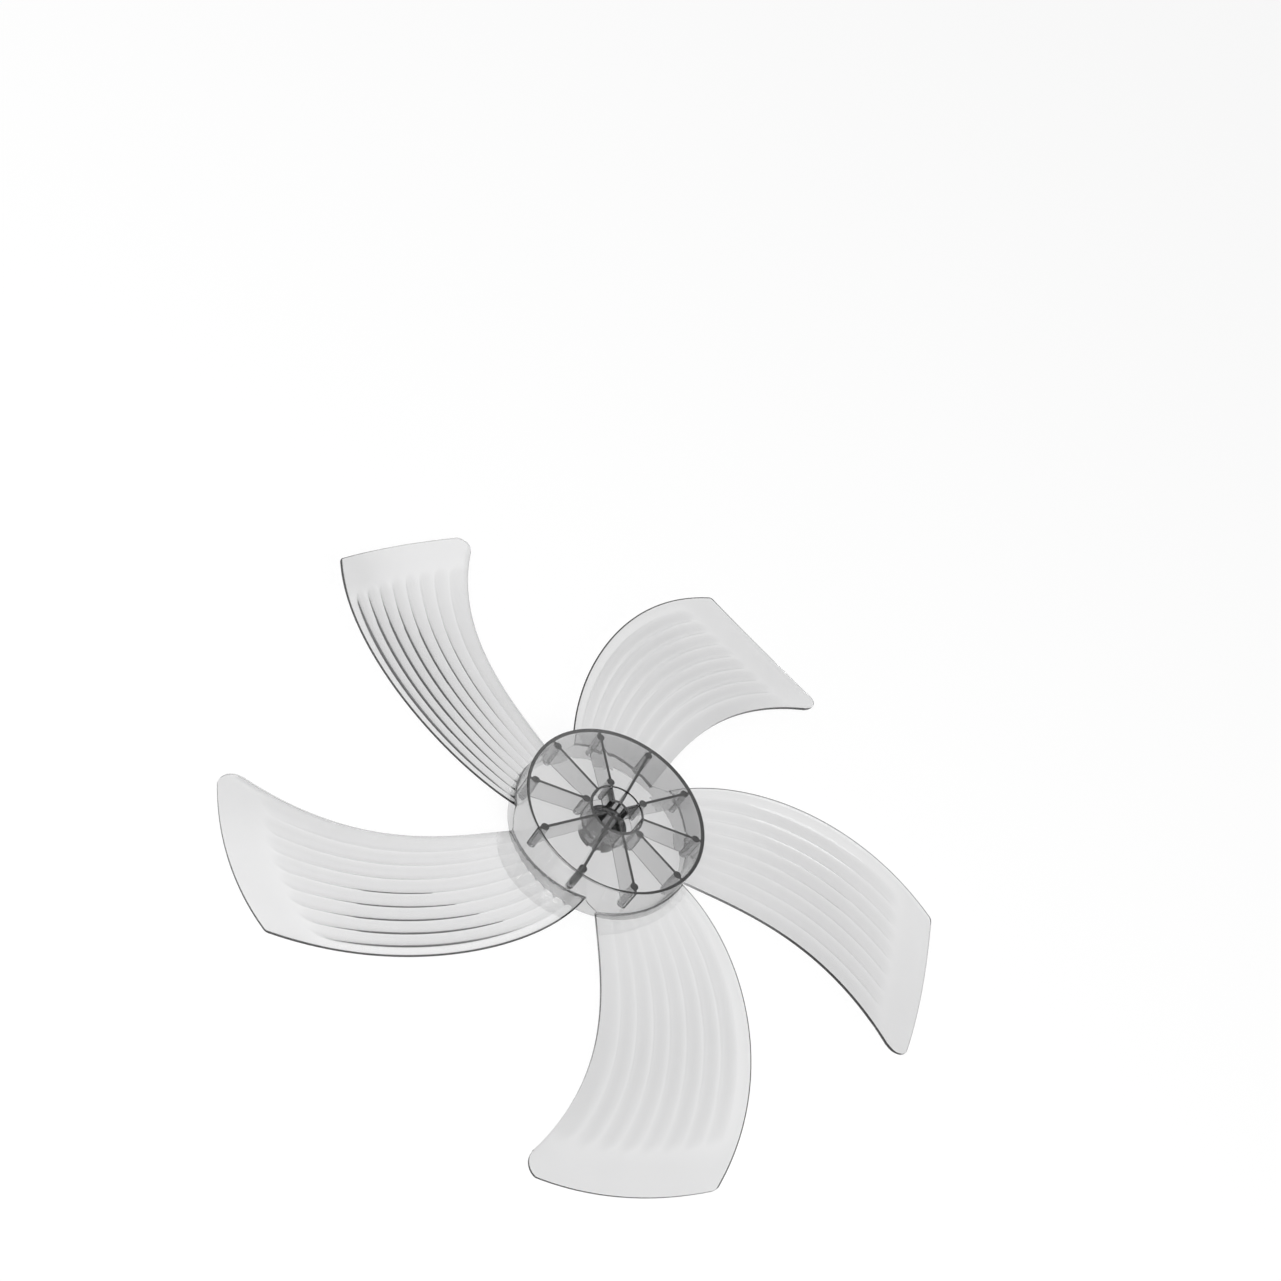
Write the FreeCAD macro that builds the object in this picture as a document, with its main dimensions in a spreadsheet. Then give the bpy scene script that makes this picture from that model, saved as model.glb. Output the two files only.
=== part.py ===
import FreeCAD, Part
import math
import os

import Sketcher

# Pedestal fan blade: five corrugated blades and a ribbed hub, moulded in one piece.
# Frame: Z is the shaft axis and +Z points to the motor (rear). z = 0 is the front edge of the hub
# skirt, and X runs along the drive-pin slot. Millimetres and degrees.

Vector = FreeCAD.Vector
AXIS = Vector(0, 0, 1)
SAME_PLACE = 1e-6

doc = FreeCAD.newDocument("pedestal_fan_blade")

# Driving dimensions

SIZES = [
    # Hub shell
    ("hub_radius", 44.2, "outside of the hub wall"),
    ("hub_height", 23.4, "front edge of the skirt to the rear face"),
    ("hub_wall", 1.6, "hub wall"),
    ("disc_thickness", 1.6, "rear disc between the hub wall and the centre ring"),
    ("rim_round", 1.0, "rounding of the outer edge of the rear disc"),
    ("foot_chamfer", 0.6, "chamfer on the outer front edge of the skirt"),
    # Centre pocket, tube and boss round the shaft
    ("ring_radius", 13.3, "outside of the ring round the centre pocket"),
    ("ring_wall", 1.1, "centre ring wall"),
    ("pocket_depth", 11.5, "rear face down to the floor of the centre pocket"),
    ("floor_thickness", 1.6, "floor of the centre pocket"),
    ("boss_radius", 10.0, "front boss"),
    ("boss_recess", 0.9, "front edge of the skirt in to the nut seat"),
    ("tube_radius", 5.6, "rear tube round the shaft"),
    ("tube_drop", 1.0, "rear face down to the end of the tube"),
    ("shaft_diameter", 8.0, "motor shaft"),
    ("shaft_clearance", 0.1, "bore over shaft, on the diameter"),
    ("pin_slot_width", 5.0, "slot for the cross pin of the shaft"),
    ("pin_slot_depth", 6.0, "slot, from the end of the tube"),
    # Ribs and ejector posts on the front of the rear disc, and ribs across the centre pocket
    ("rib_count", 10, "ribs"),
    ("rib_thickness", 1.3, "rib"),
    ("rib_depth_wall", 12.3, "rib, from the disc to its front edge at the wall"),
    ("rib_depth_ring", 10.5, "rib, from the disc to its front edge at the ring"),
    ("cross_rib_drop", 1.2, "rear face down to the ribs of the centre pocket"),
    ("post_diameter", 3.2, "ejector posts"),
    ("outer_post_depth", 13.3, "outer posts, from the disc to their front ends"),
    ("inner_post_depth", 11.0, "inner posts, from the disc to their front ends"),
    ("outer_post_gap", 1.1, "hub wall to the outer posts"),
    ("inner_post_gap", 0.3, "centre ring to the inner posts"),
    # Blades, with four stations evenly spaced from the hub wall to the tip
    ("blade_count", 5, "blades"),
    ("tip_radius", 175.0, "blade tips"),
    ("sheet_thickness", 1.2, "blade sheet, in the valleys and at the tip"),
    ("blade_angle", -78.65, "leading edge of the first blade at the hub"),
    ("lag_inner", 16.5, "leading edge behind its root, one third out"),
    ("lag_outer", 29.8, "leading edge behind its root, two thirds out"),
    ("lag_tip", 43.3, "leading edge behind its root at the tip"),
    ("span_root", 61.4, "angle from leading to trailing edge at the hub"),
    ("span_inner", 42.2, "angle from edge to edge, one third out"),
    ("span_outer", 33.2, "angle from edge to edge, two thirds out"),
    ("span_tip", 28.2, "angle from edge to edge at the tip"),
    ("lead_height_root", 11.4, "leading edge over the front edge at the hub"),
    ("lead_height_inner", 17.2, "leading edge over the front edge, one third out"),
    ("lead_height_outer", 18.0, "leading edge over the front edge, two thirds out"),
    ("lead_height_tip", 13.6, "leading edge over the front edge at the tip"),
    ("trail_height_root", 3.9, "trailing edge over the front edge at the hub"),
    ("trail_height_inner", 4.5, "trailing edge over the front edge, one third out"),
    ("trail_height_outer", 5.3, "trailing edge over the front edge, two thirds out"),
    ("trail_height_tip", 6.3, "trailing edge over the front edge at the tip"),
    ("tip_sag", 4.7, "camber of the tip section, towards the front"),
    ("lead_corner", 4.5, "rounding of the leading tip corner"),
    ("trail_corner", 6.5, "rounding of the trailing tip corner"),
    # Corrugation, with chord shares counted from the leading edge
    ("ridge_height", 0.75, "ridge over valley on the front face, for the chord of the tip"),
    ("valley_count", 8, "valleys across a blade"),
    ("first_valley", 0.055, "chord share of the first valley"),
    ("last_valley", 0.870, "chord share of the last valley"),
    ("ridge_fade", 18.0, "length of the nose that ends a ridge"),
    ("tip_panel", 17.0, "plain panel between the noses and the tip"),
]

sheet = doc.addObject("Spreadsheet::Sheet", "sizes")
for row, (alias, value, meaning) in enumerate(SIZES, start=1):
    sheet.set(f"A{row}", meaning)
    sheet.set(f"B{row}", str(value))
    sheet.setAlias(f"B{row}", alias)
doc.recompute()


def size(alias):
    """Value of a driving dimension."""
    return float(sheet.get(alias))


# Hub sketches and features

WALL_INSIDE = "sizes.hub_radius - sizes.hub_wall"
WALL_MIDDLE = "sizes.hub_radius - sizes.hub_wall / 2"
RING_INSIDE = "sizes.ring_radius - sizes.ring_wall"
RING_MIDDLE = "sizes.ring_radius - sizes.ring_wall / 2"
REAR = "sizes.hub_height"
DISC_MIDDLE = "sizes.hub_height - sizes.disc_thickness / 2"
DISC_FRONT = "sizes.hub_height - sizes.disc_thickness"
FLOOR_REAR = "sizes.hub_height - sizes.pocket_depth"
FLOOR_MIDDLE = "sizes.hub_height - sizes.pocket_depth - sizes.floor_thickness / 2"
FLOOR_FRONT = "sizes.hub_height - sizes.pocket_depth - sizes.floor_thickness"
TUBE_END = "sizes.hub_height - sizes.tube_drop"
RIB_AT_WALL = "sizes.hub_height - sizes.disc_thickness - sizes.rib_depth_wall"
RIB_AT_RING = "sizes.hub_height - sizes.disc_thickness - sizes.rib_depth_ring"
CROSS_RIB_REAR = "sizes.hub_height - sizes.cross_rib_drop"
OUTER_POST = "sizes.hub_radius - sizes.hub_wall - sizes.outer_post_gap - sizes.post_diameter / 2"
INNER_POST = "sizes.ring_radius + sizes.inner_post_gap + sizes.post_diameter / 2"
HALF_PITCH = "180 / sizes.rib_count"
BESIDE_SLOT = "90 - 360 / sizes.rib_count"


def origin_feature(body, role):
    """Origin plane or axis of a body."""
    return next(item for item in body.Origin.OriginFeatures if item.Role == role)


def add_sketch(body, name, role, turn_axis=AXIS, turn="0", rise="0"):
    """Sketch on an origin plane, turned about one of its own axes and lifted off it."""
    sketch = body.newObject("Sketcher::SketchObject", name)
    sketch.AttachmentSupport = [(origin_feature(body, role), "")]
    sketch.MapMode = "FlatFace"
    sketch.AttachmentOffset = FreeCAD.Placement(Vector(), FreeCAD.Rotation(turn_axis, 1))
    sketch.setExpression("AttachmentOffset.Rotation.Angle", turn)
    sketch.setExpression("AttachmentOffset.Base.z", rise)
    return sketch


def place_point(sketch, geometry, position, across, up):
    """Fix a sketch point by two expressions, measured from the sketch origin."""
    for kind, expression in (("DistanceX", across), ("DistanceY", up)):
        value = float(sketch.evalExpression(expression))
        constraint = Sketcher.Constraint(kind, -1, 1, geometry, position, value)
        index = sketch.addConstraint(constraint)
        sketch.setExpression(f"Constraints[{index}]", expression)


def add_polygon(sketch, corners):
    """Closed outline whose corners are pairs of expressions."""
    points = [Vector(*(float(sketch.evalExpression(text)) for text in corner)) for corner in corners]
    count = len(points)
    for i in range(count):
        sketch.addGeometry(Part.LineSegment(points[i], points[(i + 1) % count]))
    for i in range(count):
        sketch.addConstraint(Sketcher.Constraint("Coincident", i, 2, (i + 1) % count, 1))
    for i, (across, up) in enumerate(corners):
        place_point(sketch, i, 1, across, up)


def add_circle(sketch, across, diameter):
    """Circle centred on the sketch's horizontal axis."""
    centre = Vector(float(sketch.evalExpression(across)), 0, 0)
    radius = float(sketch.evalExpression(diameter)) / 2
    circle = sketch.addGeometry(Part.Circle(centre, AXIS, radius))
    place_point(sketch, circle, 3, across, "0")
    index = sketch.addConstraint(Sketcher.Constraint("Diameter", circle, 2 * radius))
    sketch.setExpression(f"Constraints[{index}]", diameter)


def add_pad(body, name, sketch, length, centred=False):
    """Pad whose length is an expression."""
    pad = body.newObject("PartDesign::Pad", name)
    pad.Profile = sketch
    pad.Midplane = centred
    pad.setExpression("Length", length)
    doc.recompute()
    return pad


def add_pattern(body, name, feature, count, angle="360"):
    """Copies of a feature round the shaft axis."""
    pattern = body.newObject("PartDesign::PolarPattern", name)
    pattern.Originals = [feature]
    pattern.Axis = (origin_feature(body, "Z_Axis"), [""])
    pattern.setExpression("Occurrences", count)
    pattern.setExpression("Angle", angle)
    body.Tip = pattern
    doc.recompute()
    return pattern


def turn_shell(body):
    """Wall, rear disc, centre pocket, tube and boss as one turned section, with no bore yet."""
    sketch = add_sketch(body, "shell_section", "XZ_Plane")
    add_polygon(sketch, [
        ("0", "sizes.boss_recess"),
        ("sizes.boss_radius", "sizes.boss_recess"),
        ("sizes.boss_radius", FLOOR_FRONT),
        ("sizes.ring_radius", FLOOR_FRONT),
        ("sizes.ring_radius", DISC_FRONT),
        (WALL_INSIDE, DISC_FRONT),
        (WALL_INSIDE, "0"),
        ("sizes.hub_radius", "0"),
        ("sizes.hub_radius", REAR),
        (RING_INSIDE, REAR),
        (RING_INSIDE, FLOOR_REAR),
        ("sizes.tube_radius", FLOOR_REAR),
        ("sizes.tube_radius", TUBE_END),
        ("0", TUBE_END),
    ])
    shell = body.newObject("PartDesign::Revolution", "shell")
    shell.Profile = sketch
    shell.ReferenceAxis = (origin_feature(body, "Z_Axis"), [""])
    shell.Angle = 360
    doc.recompute()
    return shell


def outer_edges(feature, height):
    """Names of a feature's edges that run round the outside of the wall at one height."""
    names = []
    for i, edge in enumerate(feature.Shape.Edges, start=1):
        box = edge.BoundBox
        level = max(abs(box.ZMin - height), abs(box.ZMax - height)) < SAME_PLACE
        if level and abs(box.XMax - size("hub_radius")) < SAME_PLACE:
            names.append(f"Edge{i}")
    return names


def soften_edges(body, shell):
    """Chamfer on the outer front edge of the skirt and rounding on the outer edge of the disc."""
    chamfer = body.newObject("PartDesign::Chamfer", "foot_chamfer")
    chamfer.Base = (shell, outer_edges(shell, 0))
    chamfer.setExpression("Size", "sizes.foot_chamfer")
    doc.recompute()
    rounding = body.newObject("PartDesign::Fillet", "rim_round")
    rounding.Base = (chamfer, outer_edges(chamfer, size("hub_height")))
    rounding.setExpression("Radius", "sizes.rim_round")
    doc.recompute()


def add_ribs(body):
    """Ribs from ring to wall all round, and across the centre pocket where the pin slot leaves room."""
    upright = Vector(0, 1, 0)
    sketch = add_sketch(body, "rib_section", "XZ_Plane", upright, HALF_PITCH)
    add_polygon(sketch, [
        (RING_MIDDLE, RIB_AT_RING),
        (WALL_MIDDLE, RIB_AT_WALL),
        (WALL_MIDDLE, DISC_MIDDLE),
        (RING_MIDDLE, DISC_MIDDLE),
    ])
    rib = add_pad(body, "rib", sketch, "sizes.rib_thickness", centred=True)
    add_pattern(body, "ribs", rib, "sizes.rib_count")

    sketch = add_sketch(body, "cross_rib_section", "XZ_Plane", upright, BESIDE_SLOT)
    add_polygon(sketch, [
        (f"-({RING_MIDDLE})", FLOOR_MIDDLE),
        (RING_MIDDLE, FLOOR_MIDDLE),
        (RING_MIDDLE, CROSS_RIB_REAR),
        (f"-({RING_MIDDLE})", CROSS_RIB_REAR),
    ])
    rib = add_pad(body, "cross_rib", sketch, "sizes.rib_thickness", centred=True)
    add_pattern(body, "cross_ribs", rib, "sizes.rib_count / 2 - 2", "180 - 2 * (" + BESIDE_SLOT + ")")


def add_posts(body):
    """Ejector posts on the ribs: at the wall on each, and at the ring on every second one."""
    end = f"{DISC_FRONT} - sizes.outer_post_depth"
    sketch = add_sketch(body, "outer_post_circle", "XY_Plane", AXIS, HALF_PITCH, end)
    add_circle(sketch, OUTER_POST, "sizes.post_diameter")
    post = add_pad(body, "outer_post", sketch, "sizes.outer_post_depth + sizes.disc_thickness / 2")
    add_pattern(body, "outer_posts", post, "sizes.rib_count")

    end = f"{DISC_FRONT} - sizes.inner_post_depth"
    sketch = add_sketch(body, "inner_post_circle", "XY_Plane", AXIS, BESIDE_SLOT, end)
    add_circle(sketch, INNER_POST, "sizes.post_diameter")
    post = add_pad(body, "inner_post", sketch, "sizes.inner_post_depth + sizes.disc_thickness / 2")
    add_pattern(body, "inner_posts", post, "sizes.rib_count / 2")


def cut_shaft_seat(body):
    """Bore for the shaft, and the slot that its cross pin drives."""
    sketch = add_sketch(body, "bore_circle", "XY_Plane")
    add_circle(sketch, "0", "sizes.shaft_diameter + sizes.shaft_clearance")
    bore = body.newObject("PartDesign::Pocket", "bore")
    bore.Profile = sketch
    bore.Reversed = True
    bore.setExpression("Length", REAR)
    doc.recompute()

    sketch = add_sketch(body, "pin_slot_outline", "XY_Plane", rise=TUBE_END)
    half_width = "sizes.pin_slot_width / 2"
    add_polygon(sketch, [
        (f"-({RING_INSIDE})", f"-{half_width}"),
        (RING_INSIDE, f"-{half_width}"),
        (RING_INSIDE, half_width),
        (f"-({RING_INSIDE})", half_width),
    ])
    slot = body.newObject("PartDesign::Pocket", "pin_slot")
    slot.Profile = sketch
    slot.setExpression("Length", "sizes.pin_slot_depth")
    doc.recompute()
    for cut in (bore, slot):
        if cut.Shape.Volume > cut.BaseFeature.Shape.Volume - SAME_PLACE:
            raise RuntimeError(f"{cut.Name} cut nothing")


def build_hub():
    """Hub as one body."""
    body = doc.addObject("PartDesign::Body", "hub")
    shell = turn_shell(body)
    soften_edges(body, shell)
    add_ribs(body)
    add_posts(body)
    cut_shaft_seat(body)
    return body


# Blades
# A blade is a sheet with a smooth rear face and ridges on its front face. Rails run from the hub to the
# tip, along each edge, each valley and each crest, and a ruled strip spans each pair of neighbours.

LONG_SPANS = 4
NOSE_SPANS = 3


def cubic_through(root, inner, outer, tip, share):
    """Cubic through four values at 0, 1/3, 2/3 and 1 of the way from hub to tip."""
    step = 3 * share
    return (root * (1 - step) * (2 - step) * (3 - step) / 6
            + inner * step * (2 - step) * (3 - step) / 2
            + outer * step * (step - 1) * (3 - step) / 2
            + tip * step * (step - 1) * (step - 2) / 6)


def station_value(name, share):
    """A size that is given at the four stations, in between them."""
    stations = [size(f"{name}_{place}") for place in ("root", "inner", "outer", "tip")]
    return cubic_through(*stations, share)


def blade_share(radius):
    """How far a radius lies from hub wall to tip."""
    return (radius - size("hub_radius")) / (size("tip_radius") - size("hub_radius"))


def blade_point(chord_share, radius):
    """Point of the rear face of the first blade, with chord shares from leading to trailing edge."""
    share = blade_share(radius)
    lag = cubic_through(0, size("lag_inner"), size("lag_outer"), size("lag_tip"), share)
    span = station_value("span", share)
    angle = math.radians(size("blade_angle") - lag - span * chord_share)
    lead = station_value("lead_height", share)
    trail = station_value("trail_height", share)
    sag = size("tip_sag") * share * 4 * chord_share * (1 - chord_share)
    height = lead + (trail - lead) * chord_share - sag
    return Vector(radius * math.cos(angle), radius * math.sin(angle), height)


def nose_end():
    """Radius where the ridges have run out into the tip panel."""
    return size("tip_radius") - size("tip_panel")


def rail_radii():
    """Radii of the points of a rail, from the middle of the hub wall, closer together in the noses."""
    root = size("hub_radius") - size("hub_wall") / 2
    nose = nose_end() - size("ridge_fade")
    long_run = [root + (nose - root) * i / LONG_SPANS for i in range(LONG_SPANS)]
    nose_run = [nose + size("ridge_fade") * i / NOSE_SPANS for i in range(NOSE_SPANS + 1)]
    return long_run + nose_run + [size("tip_radius")]


def ridge_factor(radius):
    """Height of a ridge along its length: it grows with the chord, then an even wave ends it in a nose."""
    chord = station_value("span", blade_share(radius)) * radius
    tip_chord = size("span_tip") * size("tip_radius")
    fade = 1 - (nose_end() - radius) / size("ridge_fade")
    fade = min(max(fade, 0.0), 1.0)
    return chord / tip_chord * (1 + math.cos(math.pi * fade)) / 2


def section_corners():
    """Corners of the front face across the chord, as pairs of chord share and ridge height."""
    count = int(size("valley_count"))
    pitch = (size("last_valley") - size("first_valley")) / (count - 1)
    valleys = [size("first_valley") + pitch * i for i in range(count)]
    bounds = valleys + [1.0]
    corners = [(0.0, 0.0), (valleys[0], 0.0)]
    for start, end in zip(bounds, bounds[1:]):
        corners.append(((start + end) / 2, size("ridge_height")))
        corners.append((end, 0.0))
    return corners


def rail(points):
    """Smooth edge through points that lie one beyond the other."""
    reach = points[-1].Length - points[0].Length
    curve = Part.BSplineCurve()
    curve.interpolate(Points=points, Parameters=[(point.Length - points[0].Length) / reach for point in points])
    return curve.toShape()


def sheet_solid():
    """First blade with square tip corners, from the middle of the hub wall to the tip."""
    radii = rail_radii()
    rear = []
    front = []
    for share, ridge in section_corners():
        rear.append([blade_point(share, radius) for radius in radii])
        depths = [size("sheet_thickness") + ridge * ridge_factor(radius) for radius in radii]
        front.append([point - AXIS * depth for point, depth in zip(rear[-1], depths)])
    rear_rails = [rail(points) for points in rear]
    front_rails = [rail(points) for points in front]
    faces = []
    for i in range(len(rear) - 1):
        faces.append(Part.makeRuledSurface(rear_rails[i], rear_rails[i + 1]))
        faces.append(Part.makeRuledSurface(front_rails[i], front_rails[i + 1]))
        for end in (0, -1):
            rear_rim = Part.makeLine(rear[i][end], rear[i + 1][end])
            front_rim = Part.makeLine(front[i][end], front[i + 1][end])
            faces.append(Part.makeRuledSurface(rear_rim, front_rim))
    for edge in (0, -1):
        faces.append(Part.makeRuledSurface(rear_rails[edge], front_rails[edge]))
    shell = Part.makeShell(faces)
    shell.sewShape()
    solid = Part.makeSolid(shell)
    if solid.Volume < 0:
        solid.reverse()
    return solid


def corner_cutter(chord_share, radius):
    """Upright prism outside the rounding of a tip corner, well past both faces of the blade."""
    tip = size("tip_radius")
    inwards = 1 - 2 * chord_share
    plan = Vector(1, 1, 0)
    corner = blade_point(chord_share, tip).scale(*plan)
    along_tip = blade_point(chord_share + inwards * radius / tip, tip).scale(*plan) - corner
    along_edge = blade_point(chord_share, tip - radius / 2).scale(*plan) - corner
    along_tip.normalize()
    along_edge.normalize()
    half_angle = along_tip.getAngle(along_edge) / 2
    inwards_both = (along_tip + along_edge).normalize()
    centre = corner + inwards_both * (radius / math.sin(half_angle))
    tip_touch = corner + along_tip * (radius / math.tan(half_angle))
    edge_touch = corner + along_edge * (radius / math.tan(half_angle))
    outside = [edge_touch, edge_touch * 2 - centre, corner * 2 - centre, tip_touch * 2 - centre, tip_touch]
    round_edge = Part.Arc(tip_touch, centre - inwards_both * radius, edge_touch).toShape()
    outline = Part.Wire([round_edge] + Part.makePolygon(outside).Edges)
    outline.translate(-AXIS * tip)
    return Part.Face(outline).extrude(AXIS * (2 * tip))


def blade_solid():
    """First blade with its rounded tip corners."""
    cutters = [corner_cutter(0.0, size("lead_corner")), corner_cutter(1.0, size("trail_corner"))]
    return sheet_solid().cut(cutters).Solids[0]


def build_blades():
    """All blades, evenly turned round the shaft axis."""
    solid = blade_solid()
    count = int(size("blade_count"))
    blades = []
    for i in range(count):
        blade = doc.addObject("Part::Feature", f"blade_{i + 1}")
        blade.Shape = solid
        blade.Placement = FreeCAD.Placement(Vector(), FreeCAD.Rotation(AXIS, 360 * i / count))
        blades.append(blade)
    return blades


# One moulding

hub = build_hub()
blades = build_blades()
fan = doc.addObject("Part::MultiFuse", "fan_blade")
fan.Shapes = [hub] + blades
fan.Label = "fan_blade"
fan.Placement = FreeCAD.Placement()
doc.recompute()

for item in doc.Objects:
    if "Invalid" in item.State or "Error" in item.State:
        raise RuntimeError(f"{item.Name} failed: {item.State}")
for item in [hub] + blades + [fan]:
    if item.Shape.isNull() or not item.Shape.isValid():
        raise RuntimeError(f"{item.Name} has no valid shape")
if len(fan.Shape.Solids) != 1:
    raise RuntimeError("the moulding is not one solid")

os.makedirs("parts", exist_ok=True)
fan.Shape.exportStep(f"parts/{fan.Label}.step")
print(f"{fan.Label}: {fan.Shape.Volume / 1000:.1f} cm3, box {fan.Shape.BoundBox}")
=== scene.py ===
import math

import bpy
from mathutils import Matrix, Vector


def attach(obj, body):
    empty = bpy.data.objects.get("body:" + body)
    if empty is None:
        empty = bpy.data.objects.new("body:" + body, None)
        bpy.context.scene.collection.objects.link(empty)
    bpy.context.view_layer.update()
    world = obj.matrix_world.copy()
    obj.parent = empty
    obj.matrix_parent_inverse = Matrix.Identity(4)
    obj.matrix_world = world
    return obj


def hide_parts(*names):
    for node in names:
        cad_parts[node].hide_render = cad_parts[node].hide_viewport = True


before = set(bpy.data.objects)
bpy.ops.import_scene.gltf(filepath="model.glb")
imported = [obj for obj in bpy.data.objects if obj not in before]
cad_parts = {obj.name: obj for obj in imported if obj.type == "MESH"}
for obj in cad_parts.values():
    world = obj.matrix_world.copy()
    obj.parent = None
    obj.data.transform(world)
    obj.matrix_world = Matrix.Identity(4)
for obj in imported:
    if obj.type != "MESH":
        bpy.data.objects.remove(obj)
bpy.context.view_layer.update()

# Fan blade in clear smoke-grey plastic, as one fine mesh in the place of its CAD solid.
# Metres, Z up along the shaft axis, X along the drive-pin slot.

MM = 0.001

# Hub sizes

HUB_RADIUS = 44.2 * MM
HUB_HEIGHT = 23.4 * MM
HUB_WALL = 1.6 * MM
RIM_ROUND = 0.55 * MM
DISC_FRONT = 21.8 * MM
FLOOR_REAR = 11.9 * MM
FLOOR_FRONT = 10.3 * MM
RING_RADIUS = 13.3 * MM
RING_WALL = 1.1 * MM
BOSS_RADIUS = 10.0 * MM
BOSS_FRONT = 0.9 * MM
TUBE_RADIUS = 5.6 * MM
TUBE_END = 22.4 * MM
BORE_RADIUS = 4.05 * MM
SLOT_WIDTH = 5.0 * MM
SLOT_FLOOR = 16.4 * MM
RIB_COUNT = 10
RIB_THICKNESS = 1.3 * MM
RIB_AT_WALL = 9.5 * MM
RIB_AT_RING = 11.3 * MM
CROSS_RIB_REAR = 22.2 * MM
POST_RADIUS = 1.9 * MM
OUTER_POST_END = 8.5 * MM
INNER_POST_END = 10.8 * MM
OUTER_POST_PLACE = 39.9 * MM
INNER_POST_PLACE = 15.2 * MM
EDGE_ROUND = 0.3 * MM

# Blade sizes, with angles in degrees and four stations evenly spaced from the hub wall to the tip

BLADE_COUNT = 5
TIP_RADIUS = 175.0 * MM
BLADE_ANGLE = -78.65
LAG = (0.0, 16.5, 29.8, 43.3)
SPAN = (61.4, 42.2, 33.2, 28.2)
LEAD_HEIGHT = (11.4 * MM, 17.2 * MM, 18.0 * MM, 13.6 * MM)
TRAIL_HEIGHT = (3.9 * MM, 4.5 * MM, 5.3 * MM, 6.3 * MM)
TIP_SAG = 4.7 * MM
LEAD_CORNER = 4.5 * MM
TRAIL_CORNER = 6.5 * MM
SHEET_ROUND = 0.12 * MM
ROOT_FILLET = 0.8 * MM
SEAM_RADIUS = 0.35 * MM

# Thickness of a blade's sheet, in the plain tip panel, between the ridges and near both edges

PANEL_SHEET = 1.3 * MM
PANEL_START = 154.0 * MM
PANEL_FULL = 164.0 * MM
FIELD_AT_LEAD = 1.04 * MM
FIELD_AT_TRAIL = 1.2 * MM
LEAD_BORDER = 5.0 * MM
LEAD_EDGE = 0.4 * MM
LEAD_ROUND = 2.4 * MM
TRAIL_SWELL = 0.55 * MM
TRAIL_REACH = 4.0 * MM

# Ridges on the front face, with valleys at shares of the chord from the leading edge

RIDGE_HEIGHT = (0.22 * MM, 0.57 * MM, 0.63 * MM, 0.0 * MM)
RIDGE_AT_LEAD = 1.1
RIDGE_AT_TRAIL = 0.75
VALLEY_COUNT = 8
FIRST_VALLEY = 0.08
LAST_VALLEY = 0.865
NOSE_END = 158.0 * MM
NOSE_LENGTH = 6.5 * MM

# Camera fitted to the photograph, with angles in degrees and the sensor in millimetres

PHOTO_SIDE = 1281
HUB_PIXEL = (617.95, 808.77)
PIXELS_PER_METRE = 2223.8
CAMERA_DISTANCE = 0.7017
CAMERA_AZIMUTH = -96.15
CAMERA_ELEVATION = 46.63
CAMERA_ROLL = 38.53
CAMERA_NEAR = 0.01
SENSOR_WIDTH = 36.0


# Mesh helpers

def mesh_object(name, points, faces):
    """New object from points and faces."""
    mesh = bpy.data.meshes.new(name)
    mesh.from_pydata([tuple(point) for point in points], [], faces)
    mesh.update()
    piece = bpy.data.objects.new(name, mesh)
    bpy.context.scene.collection.objects.link(piece)
    return piece


def combine(piece, other, operation):
    """Boolean of two closed pieces, kept in the first. The second is removed."""
    modifier = piece.modifiers.new("combine", "BOOLEAN")
    modifier.operation = operation
    modifier.solver = "MANIFOLD"
    modifier.object = other
    graph = bpy.context.evaluated_depsgraph_get()
    result = bpy.data.meshes.new_from_object(piece.evaluated_get(graph))
    piece.modifiers.clear()
    old = piece.data
    piece.data = result
    bpy.data.meshes.remove(old)
    bpy.data.objects.remove(other)


def rounded_corners(corners, steps):
    """Closed outline from corners of radius, height and rounding, with each rounding as a short curve."""
    outline = []
    count = len(corners)
    for i in range(count):
        corner = Vector(corners[i][:2])
        before = Vector(corners[i - 1][:2]) - corner
        after = Vector(corners[(i + 1) % count][:2]) - corner
        reach = min(corners[i][2], before.length / 2, after.length / 2)
        if reach == 0:
            outline.append(corner)
            continue
        start = corner + before.normalized() * reach
        end = corner + after.normalized() * reach
        for step in range(steps + 1):
            t = step / steps
            outline.append(start * (1 - t) ** 2 + corner * (2 * t * (1 - t)) + end * t ** 2)
    return outline


def lathe(name, outline, segments):
    """Closed solid turned about Z from an outline of radius and height that starts and ends on the axis."""
    points = [Vector((0, 0, outline[0].y))]
    inner = outline[1:-1]
    for i in range(segments):
        angle = 2 * math.pi * i / segments
        points += [Vector((p.x * math.cos(angle), p.x * math.sin(angle), p.y)) for p in inner]
    points.append(Vector((0, 0, outline[-1].y)))
    last = len(points) - 1
    width = len(inner)
    faces = []
    for i in range(segments):
        here = 1 + i * width
        there = 1 + (i + 1) % segments * width
        faces.append((0, there, here))
        for j in range(width - 1):
            faces.append((here + j, there + j, there + j + 1, here + j + 1))
        faces.append((here + width - 1, there + width - 1, last))
    return mesh_object(name, points, faces)


def prism_faces(count):
    """Two ends with a number of corners, one after the other, and the sides between them."""
    ends = [tuple(reversed(range(count))), tuple(range(count, 2 * count))]
    return ends + [(i, (i + 1) % count, count + (i + 1) % count, count + i) for i in range(count)]


def prism_mesh(outline, low, high):
    """Points and faces of an upright prism over a plan outline."""
    points = [Vector((p.x, p.y, low)) for p in outline] + [Vector((p.x, p.y, high)) for p in outline]
    return points, prism_faces(len(outline))


def circle(radius, segments, centre=(0.0, 0.0)):
    """Plan outline of a circle."""
    turn = 2 * math.pi / segments
    return [Vector((centre[0] + radius * math.cos(turn * i), centre[1] + radius * math.sin(turn * i)))
            for i in range(segments)]


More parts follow.
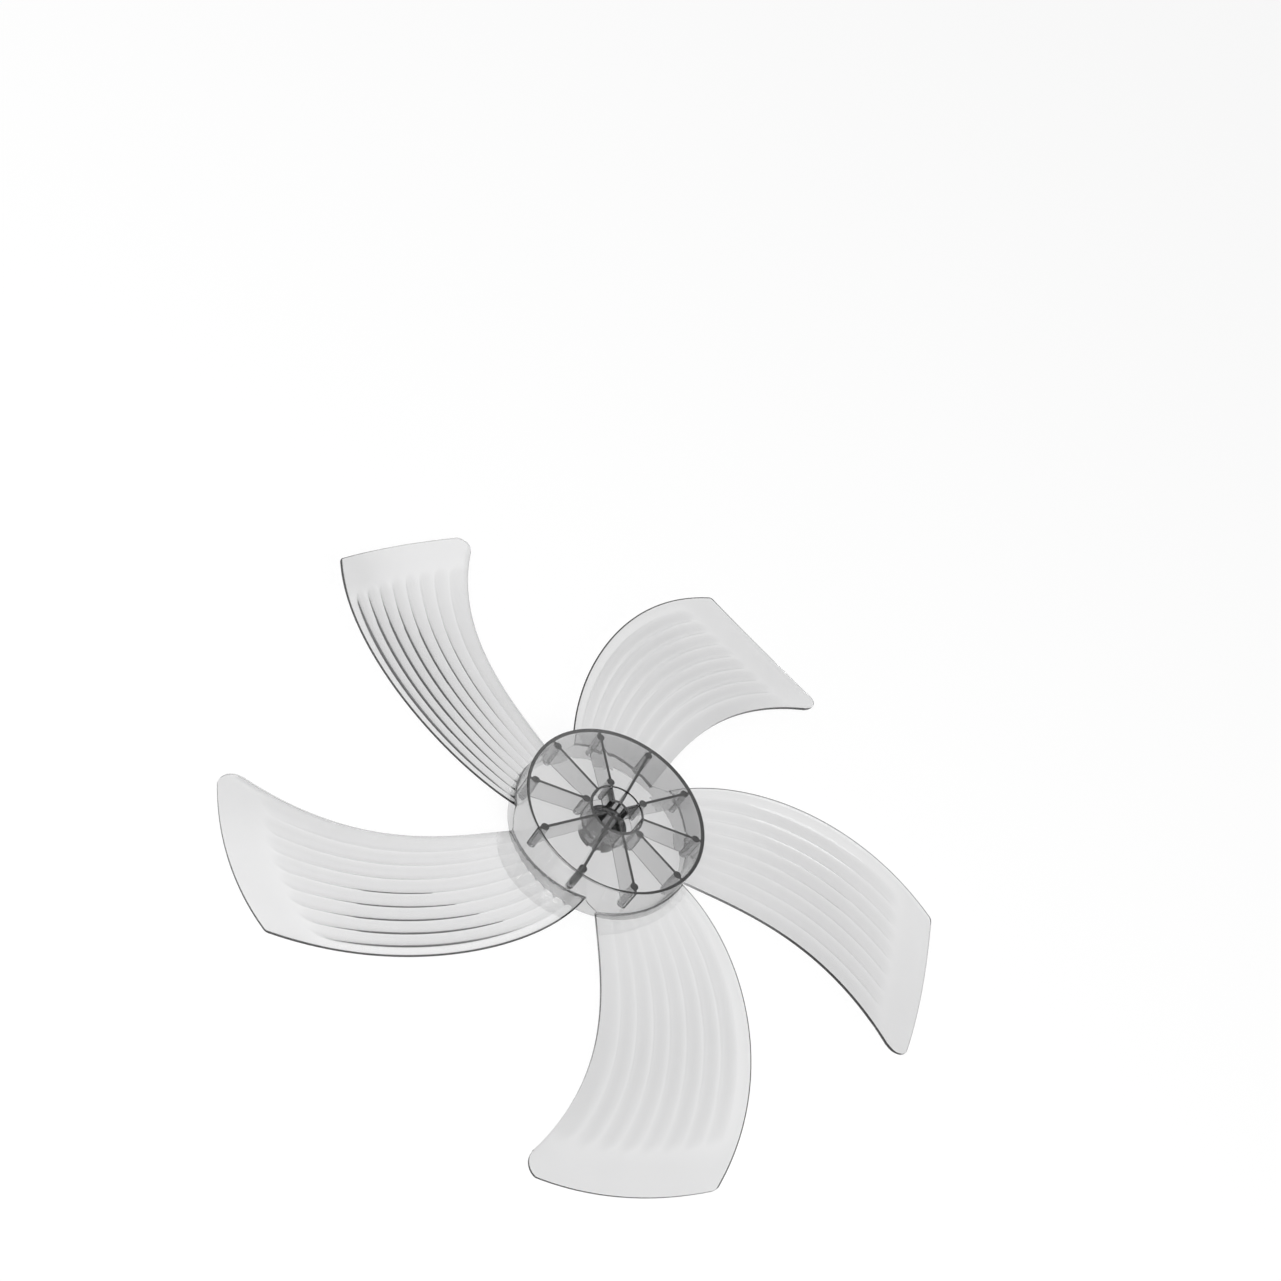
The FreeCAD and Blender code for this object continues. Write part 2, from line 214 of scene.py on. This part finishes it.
def rectangle(length, width):
    """Plan outline of a rectangle about the shaft axis."""
    x = length / 2
    y = width / 2
    return [Vector((-x, -y)), Vector((x, -y)), Vector((x, y)), Vector((-x, y))]


def turned(name, points, faces, count, first=0.0):
    """Copies of a closed mesh round the shaft axis, in one object."""
    all_points = []
    all_faces = []
    for i in range(count):
        turn = Matrix.Rotation(math.radians(first) + 2 * math.pi * i / count, 4, "Z")
        start = len(all_points)
        all_points += [turn @ point for point in points]
        all_faces += [tuple(start + j for j in face) for face in faces]
    return mesh_object(name, all_points, all_faces)


# Hub

LATHE_SEGMENTS = 240
BORE_SEGMENTS = 96
POST_SEGMENTS = 32
CORNER_STEPS = 4


def hub_shell():
    """Wall, rear disc, centre pocket, tube and boss, with no bore yet."""
    inside = HUB_RADIUS - HUB_WALL
    ring_inside = RING_RADIUS - RING_WALL
    corners = [
        (0, BOSS_FRONT, 0),
        (BOSS_RADIUS, BOSS_FRONT, EDGE_ROUND),
        (BOSS_RADIUS, FLOOR_FRONT, EDGE_ROUND),
        (RING_RADIUS, FLOOR_FRONT, EDGE_ROUND),
        (RING_RADIUS, DISC_FRONT, EDGE_ROUND),
        (inside, DISC_FRONT, EDGE_ROUND),
        (inside, 0, EDGE_ROUND),
        (HUB_RADIUS, 0, EDGE_ROUND),
        (HUB_RADIUS, HUB_HEIGHT, RIM_ROUND),
        (ring_inside, HUB_HEIGHT, EDGE_ROUND),
        (ring_inside, FLOOR_REAR, EDGE_ROUND),
        (TUBE_RADIUS, FLOOR_REAR, EDGE_ROUND),
        (TUBE_RADIUS, TUBE_END, EDGE_ROUND),
        (0, TUBE_END, 0),
    ]
    return lathe("hub", rounded_corners(corners, CORNER_STEPS), LATHE_SEGMENTS)


def rib_mesh(start, end, base, start_free, end_free):
    """Points and faces of one rib along X, from inside its base to its sloping free edge."""
    half = RIB_THICKNESS / 2
    side = 1 if start_free > base else -1
    section = [(-half, None), (half, None)]
    for step in range(CORNER_STEPS + 1):
        angle = math.pi / 2 * step / CORNER_STEPS
        section.append((half - EDGE_ROUND * (1 - math.cos(angle)), EDGE_ROUND * (1 - math.sin(angle))))
    section += [(-across, drop) for across, drop in reversed(section[2:])]
    points = []
    for along, free in ((start, start_free), (end, end_free)):
        for across, drop in section:
            height = base if drop is None else free - side * drop
            points.append(Vector((along, side * across, height)))
    return points, prism_faces(len(section))


def post_mesh(place, end, base):
    """Points and faces of one upright post on X, from its free end into its base."""
    return prism_mesh(circle(POST_RADIUS, POST_SEGMENTS, (place, 0.0)), end, base)


def build_hub():
    """Hub with ribs, posts, bore and pin slot."""
    hub = hub_shell()
    pitch = 360 / RIB_COUNT
    ring_middle = RING_RADIUS - RING_WALL / 2
    disc_middle = (HUB_HEIGHT + DISC_FRONT) / 2
    floor_middle = (FLOOR_REAR + FLOOR_FRONT) / 2
    rib = rib_mesh(ring_middle, HUB_RADIUS - HUB_WALL / 2, disc_middle, RIB_AT_RING, RIB_AT_WALL)
    combine(hub, turned("ribs", *rib, RIB_COUNT, pitch / 2), "UNION")
    rib = rib_mesh(-ring_middle, ring_middle, floor_middle, CROSS_RIB_REAR, CROSS_RIB_REAR)
    for angle in (90 - pitch, 90, 90 + pitch):
        combine(hub, turned("cross_rib", *rib, 1, angle), "UNION")
    post = post_mesh(OUTER_POST_PLACE, OUTER_POST_END, disc_middle)
    combine(hub, turned("outer_posts", *post, RIB_COUNT, pitch / 2), "UNION")
    post = post_mesh(INNER_POST_PLACE, INNER_POST_END, disc_middle)
    combine(hub, turned("inner_posts", *post, RIB_COUNT // 2, 90 - pitch), "UNION")
    bore = prism_mesh(circle(BORE_RADIUS, BORE_SEGMENTS), -HUB_HEIGHT, 2 * HUB_HEIGHT)
    combine(hub, mesh_object("bore", *bore), "DIFFERENCE")
    slot = prism_mesh(rectangle(2 * (RING_RADIUS - RING_WALL), SLOT_WIDTH), SLOT_FLOOR, 2 * HUB_HEIGHT)
    combine(hub, mesh_object("slot", *slot), "DIFFERENCE")
    return hub


# Blades, as a mesh of columns from hub to tip, with steps as multiples of the form that they divide

LEAD_ROUND_STEPS = (0.0, 0.012, 0.05, 0.11, 0.2, 0.32, 0.48, 0.7, 1.0)
LEAD_STEPS = (0.7, 0.85)
RIDGE_STEPS = (0.0, 0.05, 0.12, 0.22, 0.35, 0.5, 0.65, 0.78, 0.88, 0.95)
EDGE_STEPS = (0.0, 0.12, 0.4, 1.0, 1.6)
ROOT_STEPS = (0.0, 0.06, 0.2, 0.5)
LONG_ROWS = 40
NOSE_ROWS = 16
PANEL_ROWS = 8
CORNER_REACH = 3 * max(LEAD_CORNER, TRAIL_CORNER)
BISECTIONS = 30
SEAM_STEPS = 24
SEAM_SIDES = 8


def cubic_through(stations, share):
    """Cubic through four values at 0, 1/3, 2/3 and 1 of the way from hub to tip."""
    root, inner, outer, tip = stations
    step = 3 * share
    return (root * (1 - step) * (2 - step) * (3 - step) / 6
            + inner * step * (2 - step) * (3 - step) / 2
            + outer * step * (step - 1) * (3 - step) / 2
            + tip * step * (step - 1) * (step - 2) / 6)


def blade_share(radius):
    """How far a radius lies from hub wall to tip."""
    return (radius - HUB_RADIUS) / (TIP_RADIUS - HUB_RADIUS)


def chord_length(radius):
    """Length of the arc from edge to edge of a blade."""
    return math.radians(cubic_through(SPAN, blade_share(radius))) * radius


def blade_point(chord, radius):
    """Point of the rear face of the first blade, with chord shares from leading to trailing edge."""
    share = blade_share(radius)
    angle = math.radians(BLADE_ANGLE - cubic_through(LAG, share) - cubic_through(SPAN, share) * chord)
    lead = cubic_through(LEAD_HEIGHT, share)
    trail = cubic_through(TRAIL_HEIGHT, share)
    height = lead + (trail - lead) * chord - TIP_SAG * share * 4 * chord * (1 - chord)
    return Vector((radius * math.cos(angle), radius * math.sin(angle), height))


def valley_shares():
    """Chord shares of the valleys, with the trailing edge as the last."""
    pitch = (LAST_VALLEY - FIRST_VALLEY) / (VALLEY_COUNT - 1)
    return [FIRST_VALLEY + pitch * i for i in range(VALLEY_COUNT)] + [1.0]


def ridge_height(chord, radius):
    """Height of the ridges on the front face: round arches that end in round noses."""
    bounds = valley_shares()
    if not bounds[0] < chord < bounds[-1]:
        return 0.0
    start, end = next(pair for pair in zip(bounds, bounds[1:]) if chord <= pair[1])
    across = 2 * (chord - start) / (end - start) - 1
    along = max(0.0, 1 - (NOSE_END - radius) / NOSE_LENGTH)
    height = cubic_through(RIDGE_HEIGHT, blade_share(radius))
    height *= RIDGE_AT_LEAD + (RIDGE_AT_TRAIL - RIDGE_AT_LEAD) * chord
    return height * max(0.0, 1 - across ** 2 - along ** 2)


def blade_columns():
    """Chord places as pairs of share and distance, closer together at the edges and in the valleys."""
    bounds = valley_shares()
    places = [(0.0, step * LEAD_ROUND) for step in LEAD_ROUND_STEPS]
    places += [(bounds[0] * step, 0.0) for step in LEAD_STEPS]
    for start, end in zip(bounds, bounds[1:]):
        places += [(start + (end - start) * step, 0.0) for step in RIDGE_STEPS]
    places += [(1.0, -step * SHEET_ROUND) for step in reversed(EDGE_STEPS)]
    return places


def plan(point):
    """Point seen from above."""
    return Vector((point.x, point.y))


def tip_fillet(chord, radius):
    """Rounding of a tip corner seen from above: centre, outward direction, half its opening and radius."""
    corner = plan(blade_point(chord, TIP_RADIUS))
    inwards = 1 - 2 * chord
    along_tip = plan(blade_point(chord + inwards * radius / TIP_RADIUS, TIP_RADIUS)) - corner
    along_edge = plan(blade_point(chord, TIP_RADIUS - radius / 2)) - corner
    half_angle = along_tip.angle(along_edge) / 2
    inwards_both = (along_tip.normalized() + along_edge.normalized()).normalized()
    centre = corner + inwards_both * (radius / math.sin(half_angle))
    return centre, -inwards_both, math.pi / 2 - half_angle, radius


def column_end(share, offset, fillets):
    """Radius where a column ends: at the tip, or at the rounding of a tip corner."""
    def is_cut(radius):
        point = plan(blade_point(share + offset / chord_length(radius), radius))
        for centre, outwards, half_opening, rounding in fillets:
            spoke = point - centre
            if spoke.length > rounding and spoke.angle(outwards) < half_opening:
                return True
        return False

    if not is_cut(TIP_RADIUS):
        return TIP_RADIUS
    low = TIP_RADIUS - CORNER_REACH
    high = TIP_RADIUS
    for _ in range(BISECTIONS):
        middle = (low + high) / 2
        if is_cut(middle):
            high = middle
        else:
            low = middle
    return low


def row_radii(end):
    """Radii of a column's points, from inside the hub wall to its end at the tip."""
    root = HUB_RADIUS - HUB_WALL / 2
    foot = HUB_RADIUS + ROOT_FILLET
    nose = NOSE_END - NOSE_LENGTH
    last = TIP_RADIUS - SHEET_ROUND * EDGE_STEPS[-1]
    stretch = (end - TIP_RADIUS + last - foot) / (last - foot)
    radii = [foot + (nose - foot) * i / LONG_ROWS for i in range(LONG_ROWS)]
    radii += [nose + NOSE_LENGTH * i / NOSE_ROWS for i in range(NOSE_ROWS)]
    radii += [NOSE_END + (last - NOSE_END) * i / PANEL_ROWS for i in range(PANEL_ROWS)]
    radii = [foot + (radius - foot) * stretch for radius in radii]
    fillet = [HUB_RADIUS + step * ROOT_FILLET for step in ROOT_STEPS]
    return [root] + fillet + radii + [end - step * SHEET_ROUND for step in reversed(EDGE_STEPS)]


def edge_drop(distance):
    """How far a face falls away towards the middle of the sheet, near its rounded edge."""
    inward = min(1.0, max(0.0, distance) / SHEET_ROUND)
    return SHEET_ROUND * (1 - math.sqrt(1 - (1 - inward) ** 2))


def smooth_step(share):
    """Zero to one with a soft start and end."""
    share = min(1.0, max(0.0, share))
    return share * share * (3 - 2 * share)


def sheet_depth(chord, radius):
    """Thickness without the ridges: rounded off at the leading edge, with a swell at the trailing edge."""
    to_lead = chord * chord_length(radius)
    to_trail = chord_length(radius) - to_lead
    field = FIELD_AT_LEAD + (FIELD_AT_TRAIL - FIELD_AT_LEAD) * chord
    off_lead = smooth_step(to_lead / LEAD_BORDER)
    off_panel = smooth_step((PANEL_FULL - radius) / (PANEL_FULL - PANEL_START))
    depth = PANEL_SHEET + (field - PANEL_SHEET) * (off_lead * off_panel)
    outwards = max(0.0, 1 - to_lead / LEAD_ROUND)
    depth = LEAD_EDGE + (depth - LEAD_EDGE) * math.sqrt(1 - outwards ** 2)
    return depth + TRAIL_SWELL * max(0.0, 1 - to_trail / TRAIL_REACH) ** 2


def root_fillet(radius):
    """How far the fillet at the hub wall stands off each face."""
    gap = ROOT_FILLET - min(max(0.0, radius - HUB_RADIUS), ROOT_FILLET)
    return ROOT_FILLET - math.sqrt(ROOT_FILLET ** 2 - gap ** 2)


def blade_mesh():
    """Points and faces of the first blade, a closed sheet with ridges on its front face."""
    fillets = [tip_fillet(0.0, LEAD_CORNER), tip_fillet(1.0, TRAIL_CORNER)]
    columns = blade_columns()
    rear = []
    front = []
    points = []
    for share, offset in columns:
        end = column_end(share, offset, fillets)
        rear_column = []
        front_column = []
        for radius in row_radii(end):
            length = chord_length(radius)
            chord = share + offset / length
            to_side = min(chord, 1 - chord) * length
            drop = edge_drop(min(to_side, end - radius)) - root_fillet(radius)
            place = blade_point(chord, radius)
            depth = sheet_depth(chord, radius) + ridge_height(chord, radius)
            rear_column.append(len(points))
            points.append(place - Vector((0, 0, drop)))
            front_column.append(len(points))
            points.append(place - Vector((0, 0, depth - drop)))
        rear.append(rear_column)
        front.append(front_column)
    faces = []
    last = len(rear[0]) - 1
    for i in range(len(columns) - 1):
        for j in range(last):
            faces.append((rear[i][j], rear[i + 1][j], rear[i + 1][j + 1], rear[i][j + 1]))
            faces.append((front[i][j], front[i][j + 1], front[i + 1][j + 1], front[i + 1][j]))
        faces.append((rear[i][0], front[i][0], front[i + 1][0], rear[i + 1][0]))
        faces.append((rear[i][last], rear[i + 1][last], front[i + 1][last], front[i][last]))
    for j in range(last):
        faces.append((rear[0][j], rear[0][j + 1], front[0][j + 1], front[0][j]))
        faces.append((rear[-1][j + 1], rear[-1][j], front[-1][j], front[-1][j + 1]))
    return points, faces


def seam_mesh():
    """Points and faces of the mould seam on the hub wall, from a leading to the next trailing edge."""
    start = BLADE_ANGLE
    end = BLADE_ANGLE + 360 / BLADE_COUNT - SPAN[0]
    high = LEAD_HEIGHT[0] - PANEL_SHEET / 2
    low = TRAIL_HEIGHT[0] - PANEL_SHEET / 2
    points = []
    for i in range(SEAM_STEPS + 1):
        t = i / SEAM_STEPS
        angle = math.radians(start + (end - start) * smooth_step(t))
        height = high + (low - high) * t
        outwards = Vector((math.cos(angle), math.sin(angle), 0))
        sideways = Vector((-math.sin(angle), math.cos(angle), 0))
        centre = outwards * HUB_RADIUS + Vector((0, 0, height))
        for j in range(SEAM_SIDES):
            turn = 2 * math.pi * j / SEAM_SIDES
            points.append(centre + (outwards * math.cos(turn) + sideways * math.sin(turn)) * SEAM_RADIUS)
    faces = [tuple(range(SEAM_SIDES)), tuple(reversed(range(len(points) - SEAM_SIDES, len(points))))]
    for i in range(SEAM_STEPS):
        for j in range(SEAM_SIDES):
            here = i * SEAM_SIDES + j
            beside = i * SEAM_SIDES + (j + 1) % SEAM_SIDES
            faces.append((here, here + SEAM_SIDES, beside + SEAM_SIDES, beside))
    return points, faces


# Material

IOR = 1.57
CLARITY = 0.992
SMOKE = (0.50, 0.50, 0.505, 1.0)
SMOKE_DENSITY = 445.0
SHADOW_TINT = (0.93, 0.93, 0.93, 1.0)
FLOW_SCALE = 35.0
FLOW_DETAIL = 4.0
FLOW_TINT = (0.965, 1.0)
FLOW_ROUGHNESS = (0.01, 0.05)


def smoke_plastic():
    """Clear smoke-grey moulding plastic with faint flow marks and a polished skin."""
    material = bpy.data.materials.new("smoke_plastic")
    material.use_nodes = True
    nodes = material.node_tree.nodes
    links = material.node_tree.links
    shader = nodes["Principled BSDF"]
    shader.inputs["Transmission Weight"].default_value = CLARITY
    shader.inputs["IOR"].default_value = IOR
    coordinates = nodes.new("ShaderNodeTexCoord")
    cloud = nodes.new("ShaderNodeTexNoise")
    cloud.inputs["Scale"].default_value = FLOW_SCALE
    cloud.inputs["Detail"].default_value = FLOW_DETAIL
    links.new(coordinates.outputs["Object"], cloud.inputs["Vector"])
    for socket, (low, high) in (("Base Color", FLOW_TINT), ("Roughness", FLOW_ROUGHNESS)):
        spread = nodes.new("ShaderNodeMapRange")
        spread.inputs["To Min"].default_value = low
        spread.inputs["To Max"].default_value = high
        links.new(cloud.outputs["Fac"], spread.inputs["Value"])
        links.new(spread.outputs["Result"], shader.inputs[socket])
    absorption = nodes.new("ShaderNodeVolumeAbsorption")
    absorption.inputs["Color"].default_value = SMOKE
    absorption.inputs["Density"].default_value = SMOKE_DENSITY
    output = nodes["Material Output"]
    links.new(absorption.outputs["Volume"], output.inputs["Volume"])
    path = nodes.new("ShaderNodeLightPath")
    clear = nodes.new("ShaderNodeBsdfTransparent")
    clear.inputs["Color"].default_value = SHADOW_TINT
    choice = nodes.new("ShaderNodeMixShader")
    links.new(path.outputs["Is Shadow Ray"], choice.inputs["Fac"])
    links.new(shader.outputs["BSDF"], choice.inputs[1])
    links.new(clear.outputs["BSDF"], choice.inputs[2])
    links.new(choice.outputs["Shader"], output.inputs["Surface"])
    return material


# The moulding

SHARP_ANGLE = 32.0


def build_fan():
    """Hub and blades as one closed mesh in the place of the CAD solid."""
    fan = build_hub()
    combine(fan, turned("blades", *blade_mesh(), BLADE_COUNT), "UNION")
    combine(fan, turned("seams", *seam_mesh(), BLADE_COUNT), "UNION")
    fan.name = "fan_blade_moulding"
    fan.data.materials.clear()
    fan.data.materials.append(smoke_plastic())
    fan.data.shade_smooth()
    fan.data.set_sharp_from_angle(angle=math.radians(SHARP_ANGLE))
    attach(fan, "root")
    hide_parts("fan_blade")


# Floor, world, lamps and camera

WHITE = (1.0, 1.0, 1.0, 1.0)
FLOOR_SIZE = 6.0
FLOOR_GLOW = 0.80
FLOOR_COLOUR = (0.22, 0.22, 0.22, 1.0)
WORLD_LIGHT = 0.55
WORLD_SEEN = 1.0
SOFT_BOX_AZIMUTH = 110.0
SOFT_BOX_ELEVATION = 38.0
SOFT_BOX_REACH = 25.0
SOFT_BOX_LEVEL = 2.1
KEY_PLACE = (-0.45, -0.95, 1.15)
KEY_POWER = 10.0
FILL_PLACE = (0.75, -0.90, 1.10)
FILL_POWER = 5.0
LAMP_SIZE = 0.6
CLEAR_BOUNCES = 40
GLOSSY_BOUNCES = 12


def direction(azimuth, elevation):
    """Unit vector from two angles in degrees."""
    turn = math.radians(azimuth)
    rise = math.radians(elevation)
    return Vector((math.cos(rise) * math.cos(turn), math.cos(rise) * math.sin(turn), math.sin(rise)))


def seen_ray(tree):
    """One for rays that show the background: from the camera, off gloss and through clear plastic."""
    path = tree.nodes.new("ShaderNodeLightPath")
    first = tree.nodes.new("ShaderNodeMath")
    first.operation = "MAXIMUM"
    tree.links.new(path.outputs["Is Camera Ray"], first.inputs[0])
    tree.links.new(path.outputs["Is Glossy Ray"], first.inputs[1])
    second = tree.nodes.new("ShaderNodeMath")
    second.operation = "MAXIMUM"
    tree.links.new(first.outputs["Value"], second.inputs[0])
    tree.links.new(path.outputs["Is Transmission Ray"], second.inputs[1])
    return second.outputs["Value"]


def build_floor():
    """Plain white floor that keeps a soft shadow."""
    corners = [corner.to_3d() for corner in rectangle(FLOOR_SIZE, FLOOR_SIZE)]
    floor = mesh_object("floor", corners, [(0, 1, 2, 3)])
    material = bpy.data.materials.new("floor_white")
    material.use_nodes = True
    tree = material.node_tree
    shader = tree.nodes["Principled BSDF"]
    shader.inputs["Base Color"].default_value = FLOOR_COLOUR
    shader.inputs["Roughness"].default_value = 1.0
    shader.inputs["Specular IOR Level"].default_value = 0.0
    shader.inputs["Emission Color"].default_value = WHITE
    glow = tree.nodes.new("ShaderNodeMath")
    glow.operation = "MULTIPLY"
    glow.inputs[1].default_value = FLOOR_GLOW
    tree.links.new(seen_ray(tree), glow.inputs[0])
    tree.links.new(glow.outputs["Value"], shader.inputs["Emission Strength"])
    floor.data.materials.append(material)


def build_world():
    """White surroundings with a soft box for what is seen, and a softer level for light."""
    world = bpy.data.worlds.new("studio")
    bpy.context.scene.world = world
    world.use_nodes = True
    tree = world.node_tree
    background = tree.nodes["Background"]
    background.inputs["Color"].default_value = WHITE
    coordinates = tree.nodes.new("ShaderNodeTexCoord")
    facing = tree.nodes.new("ShaderNodeVectorMath")
    facing.operation = "DOT_PRODUCT"
    facing.inputs[1].default_value = direction(SOFT_BOX_AZIMUTH, SOFT_BOX_ELEVATION)
    tree.links.new(coordinates.outputs["Generated"], facing.inputs[0])
    box = tree.nodes.new("ShaderNodeMapRange")
    box.interpolation_type = "SMOOTHSTEP"
    box.inputs["From Min"].default_value = math.cos(math.radians(SOFT_BOX_REACH))
    box.inputs["From Max"].default_value = 1.0
    box.inputs["To Min"].default_value = WORLD_SEEN
    box.inputs["To Max"].default_value = SOFT_BOX_LEVEL
    tree.links.new(facing.outputs["Value"], box.inputs["Value"])
    level = tree.nodes.new("ShaderNodeMapRange")
    level.inputs["To Min"].default_value = WORLD_LIGHT
    tree.links.new(box.outputs["Result"], level.inputs["To Max"])
    tree.links.new(seen_ray(tree), level.inputs["Value"])
    tree.links.new(level.outputs["Result"], background.inputs["Strength"])


def build_lamp(name, place, power):
    """Square soft lamp that faces the hub."""
    lamp = bpy.data.lights.new(name, "AREA")
    lamp.size = LAMP_SIZE
    lamp.energy = power
    holder = bpy.data.objects.new(name, lamp)
    holder.location = place
    holder.rotation_euler = (-Vector(place)).to_track_quat("-Z", "Y").to_euler()
    bpy.context.scene.collection.objects.link(holder)


def build_camera():
    """Camera at the photograph's viewing angle, with the hub where the photograph has it."""
    target = Vector((0, 0, HUB_HEIGHT))
    away = direction(CAMERA_AZIMUTH, CAMERA_ELEVATION)
    lens = bpy.data.cameras.new("camera")
    lens.sensor_width = SENSOR_WIDTH
    lens.lens = PIXELS_PER_METRE * CAMERA_DISTANCE / PHOTO_SIDE * SENSOR_WIDTH
    lens.shift_x = 0.5 - HUB_PIXEL[0] / PHOTO_SIDE
    lens.shift_y = HUB_PIXEL[1] / PHOTO_SIDE - 0.5
    lens.clip_start = CAMERA_NEAR
    camera = bpy.data.objects.new("camera", lens)
    camera.location = target + away * CAMERA_DISTANCE
    level = away.to_track_quat("Z", "Y")
    roll = Matrix.Rotation(math.radians(CAMERA_ROLL), 3, "Z").to_quaternion()
    camera.rotation_euler = (level @ roll).to_euler()
    bpy.context.scene.collection.objects.link(camera)
    bpy.context.scene.camera = camera


build_fan()
build_floor()
build_world()
build_lamp("key_lamp", KEY_PLACE, KEY_POWER)
build_lamp("fill_lamp", FILL_PLACE, FILL_POWER)
build_camera()

scene = bpy.context.scene
scene.view_settings.view_transform = "Standard"
scene.cycles.max_bounces = CLEAR_BOUNCES
scene.cycles.transmission_bounces = CLEAR_BOUNCES
scene.cycles.glossy_bounces = GLOSSY_BOUNCES
